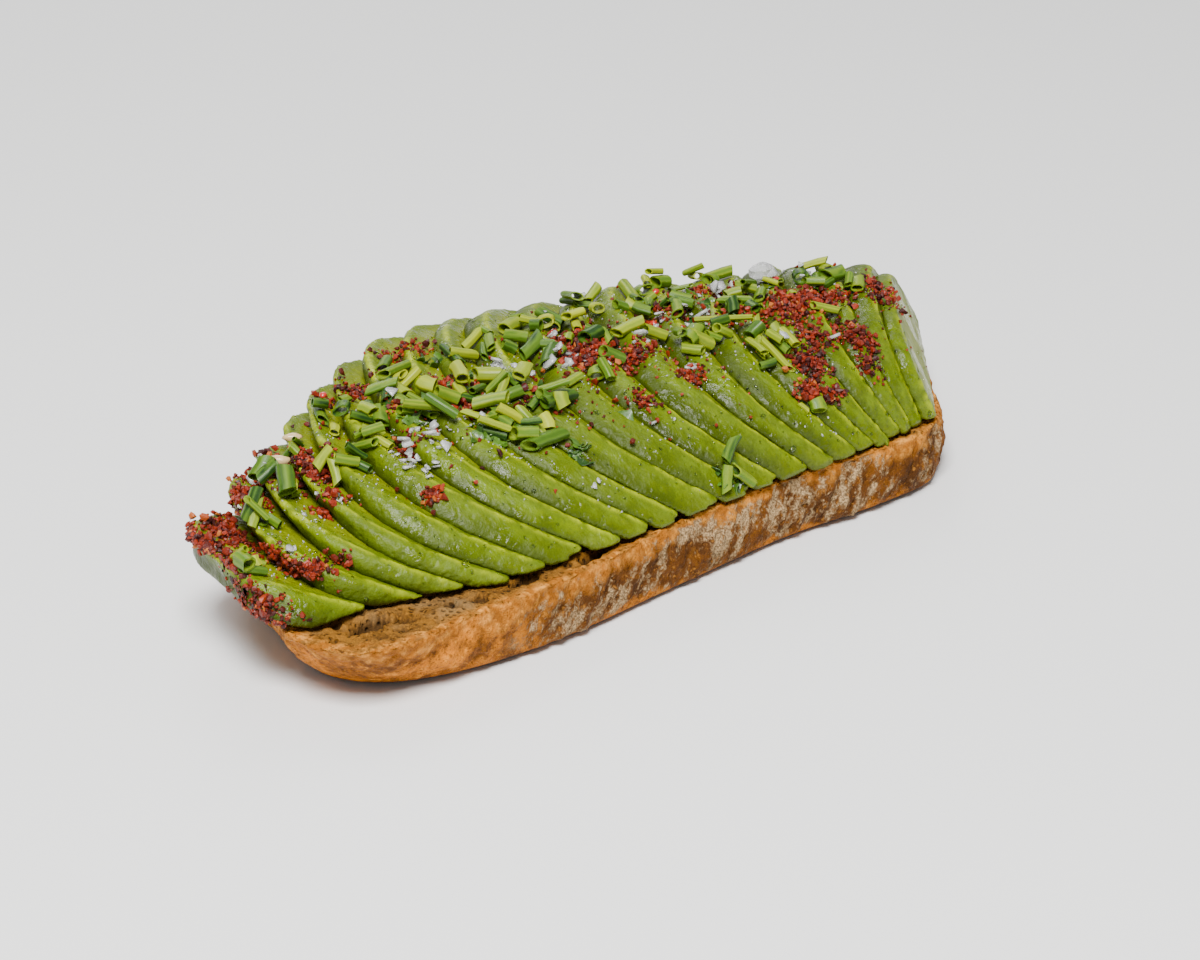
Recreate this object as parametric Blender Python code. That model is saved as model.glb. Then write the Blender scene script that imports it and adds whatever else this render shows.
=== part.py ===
"""Avocado toast: a slice of crusty country bread under a fan of thin avocado slices.

The avocado is half a fruit, cut crosswise and pushed over like a row of dominoes. The slices lean
towards -X, each one resting on the one before it, so its outer rim and a strip of its cut face stay in
sight. They lie flat and deep on the left and in the middle, and stand up and shrink towards the right-hand
end. One large salt flake, the only topping big enough to be a solid, lies on the crowns and is the highest
point. Frame: +X along the toast, +Y to the back, +Z up, with the origin on the flat base under the middle.
"""

import math
import random

import bpy
import numpy as np
from mathutils import Vector, noise

# Bread: outlines of its upper rim and of its flat base, as a few points joined by a smooth closed curve
BREAD_THICKNESS = 0.0145
RIM_OUTLINE = (
    (-0.079, -0.014), (-0.083, -0.033), (-0.074, -0.0455), (-0.050, -0.0447), (-0.024, -0.0425),
    (0.006, -0.038), (0.040, -0.035), (0.070, -0.036), (0.088, -0.033), (0.1028, -0.017), (0.1155, 0.000),
    (0.1238, 0.015), (0.119, 0.031), (0.092, 0.041), (0.045, 0.0445), (-0.010, 0.046), (-0.042, 0.039),
    (-0.060, 0.024), (-0.071, 0.006),
)
BASE_OUTLINE = (
    (-0.069, -0.010), (-0.071, -0.026), (-0.062, -0.037), (-0.044, -0.0425), (-0.022, -0.043),
    (0.006, -0.040), (0.040, -0.0365), (0.070, -0.037), (0.087, -0.034), (0.1015, -0.018), (0.1140, -0.001),
    (0.1215, 0.015), (0.117, 0.030), (0.091, 0.040), (0.045, 0.0430), (-0.010, 0.044), (-0.038, 0.037),
    (-0.053, 0.023), (-0.063, 0.007),
)
BREAD_SECTORS = 80
SIDE_LEVELS = (0.0, 0.12, 0.42, 0.74, 0.93, 1.0)
SIDE_GRAIN = 90.0
BASE_ROUNDING = 0.0022
SIDE_BULGE = 0.0014
CRUST_RELIEF = 0.0007
RIM_WIDTH = 0.0024
CRUMB_DROP = 0.0006
CRUMB_RINGS = (0.93, 0.84, 0.72, 0.58, 0.42, 0.24)
CRUMB_RELIEF = 0.0005
CRUMB_GRAIN = 140.0

# Avocado fan, from its left end (share 0) to its right end (share 1)
SLICE_COUNT = 21
FAN_SHARES = (0.0, 0.08, 0.18, 0.35, 0.55, 0.80, 1.0)
HEADINGS = (-8.0, -18.0, -25.0, -28.0, -28.0, -32.0, -40.0)
LEANS = (71.0, 68.0, 66.0, 62.5, 58.0, 45.0, 25.0)
HALF_WIDTHS = (0.0215, 0.0310, 0.0395, 0.0465, 0.0420, 0.0365, 0.0295)
DEPTHS = (0.0105, 0.0220, 0.0340, 0.0445, 0.0370, 0.0272, 0.0202)
PITCHES = (0.0122, 0.0092, 0.0090, 0.0104, 0.0085, 0.0054, 0.0042)
FRONT_FEET_Y = (-0.0305, -0.0345, -0.0385, -0.0390, -0.0365, -0.0350, -0.0315)
FIRST_FOOT_X = -0.0780
FRONT_SQUARENESS = 2.9
BACK_SQUARENESS = 2.4
LAST_THICKNESS = 0.0030
RIM_TAPER = 0.5
FOOT_FILL = 0.76
FLUSH = 0.85
UNEVEN_PITCH = 0.17
UNEVEN_DEPTH = 0.0012
UNEVEN_HEADING = 1.4
OUTLINE_STEPS = 18
EDGE_ROUNDING = 0.0006
RIM_SWELL = 0.0002
GAP = 0.00035
SEED = 11

# Large salt flake on the crowns
FLAKE_PLACE = (0.0745, 0.0100)
FLAKE_HALF_SIZE = (0.0036, 0.0024)
FLAKE_HEIGHT = 0.0040
FLAKE_CORNERS = 7
FLAKE_LEVELS = ((0.0, 0.55), (0.30, 1.0), (0.72, 0.86), (1.0, 0.38))
FLAKE_UNEVEN = 0.14
FLAKE_BED = 0.0080


def material(name, colour, roughness):
    made = bpy.data.materials.new(name)
    made.use_nodes = True
    shader = made.node_tree.nodes["Principled BSDF"]
    shader.inputs["Base Color"].default_value = (*colour, 1.0)
    shader.inputs["Roughness"].default_value = roughness
    shader.inputs["Metallic"].default_value = 0.0
    return made


def add_object(name, points, faces, surface, frame):
    mesh = bpy.data.meshes.new(name)
    mesh.from_pydata([tuple(point) for point in points], [], faces)
    mesh.validate()
    mesh.materials.append(surface)
    mesh.shade_smooth()
    mesh.set_sharp_from_angle(angle=math.radians(40.0))
    made = bpy.data.objects.new(name, mesh)
    bpy.context.scene.collection.objects.link(made)
    made.parent = frame
    return made


def between(rings, sectors):
    """Quads joining each ring of points to the next one up."""
    faces = []
    for level in range(rings - 1):
        for sector in range(sectors):
            after = (sector + 1) % sectors
            low, high = level * sectors, (level + 1) * sectors
            faces.append((low + sector, low + after, high + after, high + sector))
    return faces


# Bread


def closed_curve(points, count):
    """Evenly counted points on a smooth closed curve through the given ones."""
    curve = []
    total = len(points)
    for step in range(count):
        place = step * total / count
        index = int(place)
        part = place - index
        before, start, end, after = (Vector(points[(index + shift) % total]) for shift in (-1, 0, 1, 2))
        bend = 2.0 * before - 5.0 * start + 4.0 * end - after
        turn = 3.0 * start - before - 3.0 * end + after
        curve.append(0.5 * (2.0 * start + (end - before) * part + bend * part**2 + turn * part**3))
    return curve


def outward(curve, index):
    """The outline's unit normal at one of its points."""
    along = curve[(index + 1) % len(curve)] - curve[index - 1]
    return Vector((along.y, -along.x)).normalized()


def crumb_height(x, y):
    """Height of the rough open crumb inside the rim."""
    spot = Vector((x, y, 0.0))
    return BREAD_THICKNESS - CRUMB_DROP + CRUMB_RELIEF * noise.noise(spot * CRUMB_GRAIN)


def add_bread(frame):
    rim = closed_curve(RIM_OUTLINE, BREAD_SECTORS)
    base = closed_curve(BASE_OUTLINE, BREAD_SECTORS)
    middle = sum(rim, Vector((0.0, 0.0))) / BREAD_SECTORS
    points = []
    for level in SIDE_LEVELS:
        inset = BASE_ROUNDING * max(1.0 - level / SIDE_LEVELS[1], 0.0)
        bulge = SIDE_BULGE * math.sin(math.pi * level)
        for sector in range(BREAD_SECTORS):
            side = outward(rim, sector)
            flat = base[sector].lerp(rim[sector], level) + side * (bulge - inset)
            rough = noise.noise(Vector((flat.x, flat.y, BREAD_THICKNESS * level)) * SIDE_GRAIN)
            flat += side * CRUST_RELIEF * rough * math.sin(math.pi * level)
            points.append((flat.x, flat.y, BREAD_THICKNESS * level))
    for share in (None, *CRUMB_RINGS):
        for sector in range(BREAD_SECTORS):
            if share is None:
                flat = rim[sector] - outward(rim, sector) * RIM_WIDTH
            else:
                flat = middle.lerp(rim[sector] - outward(rim, sector) * RIM_WIDTH, share)
            points.append((flat.x, flat.y, crumb_height(flat.x, flat.y)))
    rings = len(points) // BREAD_SECTORS
    faces = between(rings, BREAD_SECTORS)
    top = len(points)
    points.append((middle.x, middle.y, crumb_height(middle.x, middle.y)))
    bottom = len(points)
    points.append((middle.x, middle.y, 0.0))
    last = (rings - 1) * BREAD_SECTORS
    for sector in range(BREAD_SECTORS):
        after = (sector + 1) % BREAD_SECTORS
        faces.append((last + sector, last + after, top))
        faces.append((after, sector, bottom))
    add_object("bread", points, faces, material("toasted bread", (0.40, 0.20, 0.075), 0.85), frame)


# Avocado fan


def along_fan(values, share):
    """A smooth value at a share of the fan's length, through the values listed for FAN_SHARES."""
    share = min(max(share, 0.0), 1.0)
    slopes = np.gradient(np.array(values), np.array(FAN_SHARES))
    index = min(int(np.searchsorted(FAN_SHARES, share, side="right")) - 1, len(FAN_SHARES) - 2)
    span = FAN_SHARES[index + 1] - FAN_SHARES[index]
    part = (share - FAN_SHARES[index]) / span
    start, end = values[index], values[index + 1]
    value = (2.0 * part**3 - 3.0 * part**2 + 1.0) * start + (3.0 * part**2 - 2.0 * part**3) * end
    value += span * (part**3 - 2.0 * part**2 + part) * slopes[index]
    value += span * (part**3 - part**2) * slopes[index + 1]
    return float(value)


def slice_outline(half_width, depth):
    """Half a squared ellipse in the slice's plane, from its back foot over its crown to its front foot."""
    outline = []
    for step in range(OUTLINE_STEPS + 1):
        angle = math.pi * step / OUTLINE_STEPS
        across, up = math.cos(angle), math.sin(angle)
        power = 2.0 / (BACK_SQUARENESS if across > 0.0 else FRONT_SQUARENESS)
        outline.append((half_width * math.copysign(abs(across) ** power, across), depth * abs(up) ** power))
    return outline


class Slice:
    """One slice: its foot line on the bread, its lean, and its outlines on the lower and the upper face."""

    def __init__(self, share, foot_x, extra_heading, extra_depth):
        heading = math.radians(along_fan(HEADINGS, share) + extra_heading)
        lean = math.radians(along_fan(LEANS, share))
        ahead = Vector((math.cos(heading), math.sin(heading), 0.0))
        self.across = Vector((-math.sin(heading), math.cos(heading), 0.0))
        self.upward = math.cos(lean) * Vector((0.0, 0.0, 1.0)) - math.sin(lean) * ahead
        self.facing = math.cos(lean) * ahead + math.sin(lean) * Vector((0.0, 0.0, 1.0))
        step = RIM_TAPER / (SLICE_COUNT - 1)
        self.outlines = []
        for place in (share - step, share + step):
            depth = along_fan(DEPTHS, place) + extra_depth
            self.outlines.append(slice_outline(along_fan(HALF_WIDTHS, place), depth))
        foot = Vector((foot_x, along_fan(FRONT_FEET_Y, share), BREAD_THICKNESS + GAP))
        self.centre = foot + along_fan(HALF_WIDTHS, share) * self.across
        self.foot_slope = FOOT_FILL * math.tan(lean)
        self.roof = None
        self.slide = 0.0

    def rest_under(self, other):
        """Fill the wedge of room up to the next slice, which lies on this one, and lead over to its outline."""
        self.roof = other
        self.slide = FLUSH * (other.centre - self.centre).dot(self.across)

    def room(self, spot):
        """The slice's thickness over a spot on its lower face."""
        if self.roof is None:
            return LAST_THICKNESS
        away = (self.roof.centre - spot).dot(self.roof.facing)
        return away / self.facing.dot(self.roof.facing) - GAP

    def at(self, u, v, share):
        """A point at a place across and up the slice and at a share of its thickness."""
        lead = 0.5 - 0.5 * u / self.outlines[0][0][0]
        spot = self.centre + (u + share * lead * self.slide) * self.across + v * self.upward
        return spot + share * self.room(spot) * self.facing

    def face_middle(self, face):
        """A point between foot and crown on the lower (0) or the upper (1) face."""
        return self.at(0.0, 0.5 * self.outlines[face][OUTLINE_STEPS // 2][1], face)

    def ring(self, share, inset):
        """The slice's outline at a share of its thickness, drawn in by a small inset; its feet reach down."""
        lower, upper = self.outlines
        drop = self.foot_slope * share * self.room(self.centre)
        points = []
        for (u_low, v_low), (u_high, v_high) in zip(lower, upper):
            u = u_low + (u_high - u_low) * share
            v = v_low + (v_high - v_low) * share
            length = math.hypot(u, v)
            u -= u / length * inset
            v = max(v - v / length * inset, 0.0)
            v -= drop * (1.0 - v / upper[OUTLINE_STEPS // 2][1])
            points.append(self.at(u, v, share))
        return points


def add_slice(number, piece, surface, frame):
    edge = EDGE_ROUNDING / piece.room(piece.centre)
    rings = ((0.0, EDGE_ROUNDING), (edge, 0.0), (0.5, -RIM_SWELL), (1.0 - edge, 0.0), (1.0, EDGE_ROUNDING))
    points = [point for share, inset in rings for point in piece.ring(share, inset)]
    count = OUTLINE_STEPS + 1
    faces = between(len(rings), count)
    hub_low = len(points)
    hub_high = hub_low + 1
    points.append(piece.face_middle(0))
    points.append(piece.face_middle(1))
    last = (len(rings) - 1) * count
    for step in range(count):
        after = (step + 1) % count
        faces.append((after, step, hub_low))
        faces.append((last + step, last + after, hub_high))
    add_object(f"avocado_slice_{number:02d}", points, faces, surface, frame)


def lay_fan():
    chance = random.Random(SEED)
    fan = []
    foot_x = FIRST_FOOT_X
    for index in range(SLICE_COUNT):
        share = index / (SLICE_COUNT - 1)
        extra_heading = chance.uniform(-UNEVEN_HEADING, UNEVEN_HEADING)
        extra_depth = chance.uniform(-UNEVEN_DEPTH, UNEVEN_DEPTH)
        fan.append(Slice(share, foot_x, extra_heading, extra_depth))
        foot_x += along_fan(PITCHES, share) * chance.uniform(1.0 - UNEVEN_PITCH, 1.0 + UNEVEN_PITCH)
    for piece, following in zip(fan, fan[1:]):
        piece.rest_under(following)
    return fan


# Salt flake


def add_salt_flake(frame):
    """A broken crystal of stacked uneven rings, lying on the highest crown under it."""
    chance = random.Random(SEED)
    bed = max(
        vertex.co.z
        for made in frame.children
        for vertex in made.data.vertices
        if math.dist(vertex.co.xy, FLAKE_PLACE) < FLAKE_BED
    )
    points = []
    for level, reach in FLAKE_LEVELS:
        for corner in range(FLAKE_CORNERS):
            angle = math.tau * corner / FLAKE_CORNERS
            radius = reach * chance.uniform(1.0 - FLAKE_UNEVEN, 1.0 + FLAKE_UNEVEN)
            x = FLAKE_PLACE[0] + FLAKE_HALF_SIZE[0] * radius * math.cos(angle)
            y = FLAKE_PLACE[1] + FLAKE_HALF_SIZE[1] * radius * math.sin(angle)
            points.append((x, y, bed + GAP + FLAKE_HEIGHT * level))
    faces = between(len(FLAKE_LEVELS), FLAKE_CORNERS)
    last = (len(FLAKE_LEVELS) - 1) * FLAKE_CORNERS
    faces.append(tuple(reversed(range(FLAKE_CORNERS))))
    faces.append(tuple(range(last, last + FLAKE_CORNERS)))
    add_object("salt_flake", points, faces, material("flaked salt", (0.80, 0.82, 0.82), 0.3), frame)


def centre_frame(frame):
    """Put the origin under the middle of everything."""
    corners = [vertex.co for made in frame.children for vertex in made.data.vertices]
    for axis in (0, 1):
        values = [corner[axis] for corner in corners]
        frame.location[axis] = -0.5 * (min(values) + max(values))


def main():
    for old in list(bpy.data.objects):
        bpy.data.objects.remove(old, do_unlink=True)
    frame = bpy.data.objects.new("avocado_toast", None)
    bpy.context.scene.collection.objects.link(frame)
    add_bread(frame)
    surface = material("avocado flesh", (0.21, 0.27, 0.02), 0.4)
    for number, piece in enumerate(lay_fan(), 1):
        add_slice(number, piece, surface, frame)
    add_salt_flake(frame)
    centre_frame(frame)


if __name__ == "__main__":
    main()
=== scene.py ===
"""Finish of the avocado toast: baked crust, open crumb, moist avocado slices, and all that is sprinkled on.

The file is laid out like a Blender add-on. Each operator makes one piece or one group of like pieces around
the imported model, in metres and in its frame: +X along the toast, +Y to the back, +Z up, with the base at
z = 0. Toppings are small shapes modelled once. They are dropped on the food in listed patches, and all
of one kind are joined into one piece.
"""

import math
import random
from functools import cache

import bpy
import numpy as np
from bpy.props import FloatProperty, FloatVectorProperty, IntProperty, PointerProperty
from mathutils import Euler, Matrix, Vector, noise
from mathutils.bvhtree import BVHTree
from mathutils.kdtree import KDTree


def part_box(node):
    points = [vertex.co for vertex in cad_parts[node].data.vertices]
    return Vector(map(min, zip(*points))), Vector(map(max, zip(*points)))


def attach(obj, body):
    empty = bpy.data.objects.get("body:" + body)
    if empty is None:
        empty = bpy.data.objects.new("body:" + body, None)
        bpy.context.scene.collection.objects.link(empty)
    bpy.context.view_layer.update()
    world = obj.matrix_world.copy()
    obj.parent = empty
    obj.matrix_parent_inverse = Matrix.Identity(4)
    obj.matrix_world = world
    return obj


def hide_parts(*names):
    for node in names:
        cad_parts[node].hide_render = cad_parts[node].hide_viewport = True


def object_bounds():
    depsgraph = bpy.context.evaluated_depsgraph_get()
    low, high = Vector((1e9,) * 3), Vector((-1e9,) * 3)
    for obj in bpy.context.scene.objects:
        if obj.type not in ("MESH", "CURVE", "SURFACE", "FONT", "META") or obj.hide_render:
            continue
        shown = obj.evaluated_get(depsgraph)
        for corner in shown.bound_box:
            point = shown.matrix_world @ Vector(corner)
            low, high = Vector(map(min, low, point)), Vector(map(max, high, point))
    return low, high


bl_info = {
    "name": "Avocado Toast Finish",
    "version": (1, 0, 0),
    "blender": (4, 5, 0),
    "location": "View3D > Sidebar > Toast",
    "description": "Makes the crust, avocado flesh, chives, sumac and salt of an avocado toast",
    "category": "Object",
}

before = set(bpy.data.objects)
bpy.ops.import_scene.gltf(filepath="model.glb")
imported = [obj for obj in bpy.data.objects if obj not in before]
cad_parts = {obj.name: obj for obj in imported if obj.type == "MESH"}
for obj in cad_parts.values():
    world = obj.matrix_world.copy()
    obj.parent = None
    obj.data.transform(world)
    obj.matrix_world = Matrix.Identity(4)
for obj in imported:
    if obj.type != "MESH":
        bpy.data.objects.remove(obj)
CAD_BOX = [list(corner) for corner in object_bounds()]
MM = 0.001
SEED = 5
SLICES = sorted(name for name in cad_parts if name.startswith("avocado_slice"))
BREAD_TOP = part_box("bread")[1].z
DOWN = Vector((0.0, 0.0, -1.0))
ARCH = 2.6  # how square a slice's arched outline is: 2 is an ellipse
GOLDEN_CRUST = (0.72, 0.30, 0.045)
FOOD = []  # the finished bread and slices, on which the toppings land


# Properties


def colour_property(name, description, default):
    return FloatVectorProperty(name=name, description=description, default=default, size=3, subtype="COLOR")


def length_property(name, description, default):
    return FloatProperty(name=name, description=description, default=default, unit="LENGTH")


def power_property(name, description, default):
    return FloatProperty(name=name, description=description, default=default, unit="POWER")


class BreadProperties(bpy.types.PropertyGroup):
    voxel: length_property("Detail size", "Size of the smallest modelled bump", 0.0007)
    relief: length_property("Crust relief", "Height of the bumps on the crust", 0.0008)
    pores: IntProperty(name="Pores", description="Number of small open pores", default=850, min=0)
    crust: colour_property("Crust", "Baked crust without flour", (0.60, 0.185, 0.006))
    flour: colour_property("Flour", "Flour baked onto the crust", (0.40, 0.262, 0.128))
    crumb: colour_property("Crumb", "Toasted open crumb", (0.21, 0.085, 0.008))


class AvocadoProperties(bpy.types.PropertyGroup):
    voxel: length_property("Detail size", "Size of the smallest modelled bump", 0.00055)
    margin: length_property("Green margin", "Width of the greener band inside the outline", 0.0042)
    flesh: colour_property("Flesh", "Yellow-green inner flesh", (0.225, 0.265, 0.0002))
    outer: colour_property("Outer flesh", "Green flesh next to the skin", (0.100, 0.150, 0.0001))


class ToppingProperties(bpy.types.PropertyGroup):
    chive_dark: colour_property("Dark chive", "Darkest chives", (0.008, 0.036, 0.002))
    chive_light: colour_property("Light chive", "Palest chives", (0.32, 0.36, 0.003))
    sumac_dark: colour_property("Dark sumac", "Darkest sumac grains", (0.030, 0.003, 0.002))
    sumac_light: colour_property("Light sumac", "Brightest sumac grains", (0.27, 0.022, 0.004))
    salt: colour_property("Salt", "Flaked salt", (0.93, 0.93, 0.93))
    herb: colour_property("Herb", "Minced herb leaves", (0.010, 0.045, 0.004))


class StageProperties(bpy.types.PropertyGroup):
    floor: colour_property("Floor", "Colour of the plain floor", (0.86, 0.86, 0.85))
    key_power: power_property("Key light", "Power of the main soft light", 32.0)
    back_power: power_property("Back light", "Power of the light behind the toast", 4.5)
    fill: FloatProperty(name="Fill", description="Brightness of the surroundings", default=0.42)


# Shader maths


# Sockets of the mix node that carry a share and colours, by number, as their names are not unique
MIX_SHARE, MIX_FIRST, MIX_SECOND, MIX_COLOUR = 0, 6, 7, 2


class Value:
    """A socket of a material that can be used in sums."""

    def __init__(self, material, socket):
        self.material = material
        self.socket = socket

    def sum(self, operation, other):
        return self.material.node("ShaderNodeMath", {"operation": operation}, {0: self, 1: other})

    def __add__(self, other):
        return self.sum("ADD", other)

    def __sub__(self, other):
        return self.sum("SUBTRACT", other)

    def __mul__(self, other):
        return self.sum("MULTIPLY", other)

    def __truediv__(self, other):
        return self.sum("DIVIDE", other)

    def __rsub__(self, other):
        return self.material.node("ShaderNodeMath", {"operation": "SUBTRACT"}, {0: other, 1: self})

    __radd__ = __add__
    __rmul__ = __mul__

    def step(self, low, high):
        """0 below low and 1 above high, with a smooth change between them."""
        inputs = {"Value": self, "From Min": low, "From Max": high}
        settings = {"interpolation_type": "SMOOTHSTEP"}
        return self.material.node("ShaderNodeMapRange", settings, inputs, "Result")


class Material:
    """One node material, built from expressions."""

    def __init__(self, name):
        self.made = bpy.data.materials.new(name)
        self.made.use_nodes = True
        self.tree = self.made.node_tree
        self.shader = self.tree.nodes["Principled BSDF"]
        self.place = self.node("ShaderNodeTexCoord", {}, {}, "Object")

    def node(self, kind, settings, inputs, output=0):
        made = self.tree.nodes.new(kind)
        for name, setting in settings.items():
            setattr(made, name, setting)
        self.fill(made, inputs)
        return Value(self, made.outputs[output])

    def fill(self, node, inputs):
        for name, value in inputs.items():
            if isinstance(value, Value):
                self.tree.links.new(value.socket, node.inputs[name])
            else:
                node.inputs[name].default_value = value

    def attributes(self, *names):
        return [self.node("ShaderNodeAttribute", {"attribute_name": name}, {}, "Fac") for name in names]

    def height(self):
        """How high a place lies above the base."""
        return self.node("ShaderNodeSeparateXYZ", {}, {"Vector": self.place}, "Z")

    def drawn_out(self, turn, stretch):
        """The place, turned, for a pattern that is drawn out in one direction."""
        inputs = {"Vector": self.place, "Rotation": turn, "Scale": stretch}
        return self.node("ShaderNodeMapping", {"vector_type": "TEXTURE"}, inputs)

    def noise(self, scale, detail, roughness, at=None):
        inputs = {"Vector": at or self.place, "Scale": scale, "Detail": detail, "Roughness": roughness}
        return self.node("ShaderNodeTexNoise", {}, inputs, "Fac")

    def cells(self, scale):
        """The distance to the nearest of many scattered spots."""
        return self.node("ShaderNodeTexVoronoi", {}, {"Vector": self.place, "Scale": scale}, "Distance")

    def mix(self, share, first, second):
        """A colour between two others."""
        first, second = [part if isinstance(part, Value) else (*part, 1.0) for part in (first, second)]
        inputs = {MIX_SHARE: share, MIX_FIRST: first, MIX_SECOND: second}
        return self.node("ShaderNodeMix", {"data_type": "RGBA"}, inputs, MIX_COLOUR)

    def paint(self, colour, *coats):
        """A colour under coats, each given as how much it covers and its own colour."""
        for share, coat in coats:
            colour = self.mix(share, colour, coat)
        return colour

    def bump(self, height, distance, strength):
        inputs = {"Height": height, "Distance": distance, "Strength": strength}
        return self.node("ShaderNodeBump", {}, inputs)

    def finish(self, **sockets):
        """The material, with values or sums on the shader's sockets and subsurface radii in metres."""
        self.fill(self.shader, {"Subsurface Scale": 1.0})
        self.fill(self.shader, {name.replace("_", " "): value for name, value in sockets.items()})
        return self.made


def tint(colour, share):
    """A colour made lighter or darker by a share."""
    return tuple(min(part * share, 1.0) for part in colour)


# Mesh helpers


def select_only(made):
    bpy.ops.object.select_all(action="DESELECT")
    made.select_set(True)
    bpy.context.view_layer.objects.active = made


def apply_modifier(made, kind, **settings):
    select_only(made)
    modifier = made.modifiers.new(kind.title(), kind)
    for name, value in settings.items():
        setattr(modifier, name, value)
    bpy.ops.object.modifier_apply(modifier=modifier.name)


def fine_copy(node, name, voxel, smoothing):
    """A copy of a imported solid, merged and remeshed finely enough to model its surface."""
    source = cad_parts[node]
    made = source.copy()
    made.data = source.data.copy()
    made.name = name
    made.data.name = name
    made.parent = None
    for key in list(made.keys()):
        del made[key]
    bpy.context.scene.collection.objects.link(made)
    made.data.materials.clear()
    select_only(made)
    bpy.ops.object.mode_set(mode="EDIT")
    bpy.ops.mesh.select_all(action="SELECT")
    bpy.ops.mesh.remove_doubles(threshold=1e-6)
    bpy.ops.object.mode_set(mode="OBJECT")
    if made.data.has_custom_normals:
        bpy.ops.mesh.customdata_custom_splitnormals_clear()
    apply_modifier(made, "REMESH", mode="VOXEL", voxel_size=voxel)
    apply_modifier(made, "SMOOTH", factor=0.5, iterations=smoothing)
    select_only(made)
    bpy.ops.object.shade_smooth()
    return made


def read_points(mesh, name="co"):
    values = np.empty(len(mesh.vertices) * 3)
    mesh.vertices.foreach_get(name, values)
    return values.reshape(-1, 3)


def write_points(mesh, points):
    mesh.vertices.foreach_set("co", points.astype(np.float32).ravel())
    mesh.update()


def write_attributes(mesh, **named):
    for name, values in named.items():
        layer = mesh.attributes.new(name, "FLOAT", "POINT")
        layer.data.foreach_set("value", np.asarray(values, dtype=np.float32))


def smooth_step(values, low, high):
    share = np.clip((values - low) / (high - low), 0.0, 1.0)
    return share * share * (3.0 - 2.0 * share)


def noise_at(points, scale, shift=0.0, octaves=1):
    """Smooth noise at each point, from about -1 to 1."""
    offset = Vector((shift, shift * 0.7, shift * 1.3))
    values = [noise.fractal(Vector(point) * scale + offset, 0.6, 2.0, octaves) for point in points]
    return np.array(values)


def keep_in_box(points):
    """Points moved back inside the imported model's box."""
    return np.clip(points, *CAD_BOX)


def ride(made):
    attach(made, "root")


# Small shapes and how they are joined


class Shape:
    """The points, faces and attributes of a small modelled shape, kept so that many copies can be joined."""

    def __init__(self, made, attributes=None):
        mesh = made.data
        self.points = read_points(mesh)
        self.corners = np.empty(len(mesh.loops), dtype=np.int64)
        mesh.loops.foreach_get("vertex_index", self.corners)
        self.starts = np.empty(len(mesh.polygons), dtype=np.int64)
        mesh.polygons.foreach_get("loop_start", self.starts)
        self.attributes = attributes(self.points) if attributes else {}
        bpy.data.objects.remove(made, do_unlink=True)


def gather(name, shapes, copies, material, smooth_angle=0.0):
    """One piece from many copies: each is a shape's number, its matrix and the values of its attributes."""
    points, corners, starts, values = [], [], [], {}
    point_count = corner_count = 0
    for number, matrix, extra in copies:
        shape = shapes[number]
        turn = np.array(matrix.to_3x3())
        placed = shape.points @ turn.T + np.array(matrix.translation)
        points.append(keep_in_box(placed))
        corners.append(shape.corners + point_count)
        starts.append(shape.starts + corner_count)
        for key, value in shape.attributes.items():
            values.setdefault(key, []).append(value)
        for key, value in extra.items():
            values.setdefault(key, []).append(np.full(len(placed), value))
        point_count += len(placed)
        corner_count += len(shape.corners)
    mesh = bpy.data.meshes.new(name)
    mesh.vertices.add(point_count)
    mesh.loops.add(corner_count)
    mesh.polygons.add(sum(len(each) for each in starts))
    mesh.vertices.foreach_set("co", np.concatenate(points).astype(np.float32).ravel())
    mesh.loops.foreach_set("vertex_index", np.concatenate(corners).astype(np.int32))
    mesh.polygons.foreach_set("loop_start", np.concatenate(starts).astype(np.int32))
    mesh.update(calc_edges=True)
    mesh.validate()
    write_attributes(mesh, **{key: np.concatenate(value) for key, value in values.items()})
    mesh.materials.append(material)
    made = bpy.data.objects.new(name, mesh)
    bpy.context.scene.collection.objects.link(made)
    select_only(made)
    if smooth_angle:
        bpy.ops.object.shade_smooth_by_angle(angle=math.radians(smooth_angle))
    return made


def crystal(chance, size, cuts, slant):
    """A block with its sides cut off by chance planes, like a broken crystal."""
    bpy.ops.mesh.primitive_cube_add(size=2.0)
    made = bpy.context.object
    made.scale = size
    bpy.ops.object.transform_apply(location=False, rotation=False, scale=True)
    bpy.ops.object.mode_set(mode="EDIT")
    for _ in range(cuts):
        angle = chance.uniform(0.0, math.tau)
        normal = Vector((math.cos(angle), math.sin(angle), chance.uniform(-slant, slant))).normalized()
        reach = chance.uniform(0.45, 0.85) * (abs(normal.x) * size[0] + abs(normal.y) * size[1]) / 1.2
        bpy.ops.mesh.select_all(action="SELECT")
        bpy.ops.mesh.bisect(plane_co=normal * reach, plane_no=normal, use_fill=True, clear_outer=True)
    bpy.ops.mesh.select_all(action="SELECT")
    bpy.ops.mesh.remove_doubles(threshold=0.02)
    bpy.ops.object.mode_set(mode="OBJECT")
    return made


def pebble(chance, rounds, uneven):
    """A small lump with an uneven surface."""
    bpy.ops.mesh.primitive_ico_sphere_add(subdivisions=rounds, radius=1.0)
    made = bpy.context.object
    points = read_points(made.data)
    stretch = np.array([chance.uniform(0.7, 1.25) for _ in range(3)])
    swell = np.array([1.0 + chance.uniform(-uneven, uneven) for _ in range(len(points))])
    write_points(made.data, points * stretch * swell[:, None])
    return made


# Where toppings land


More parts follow.
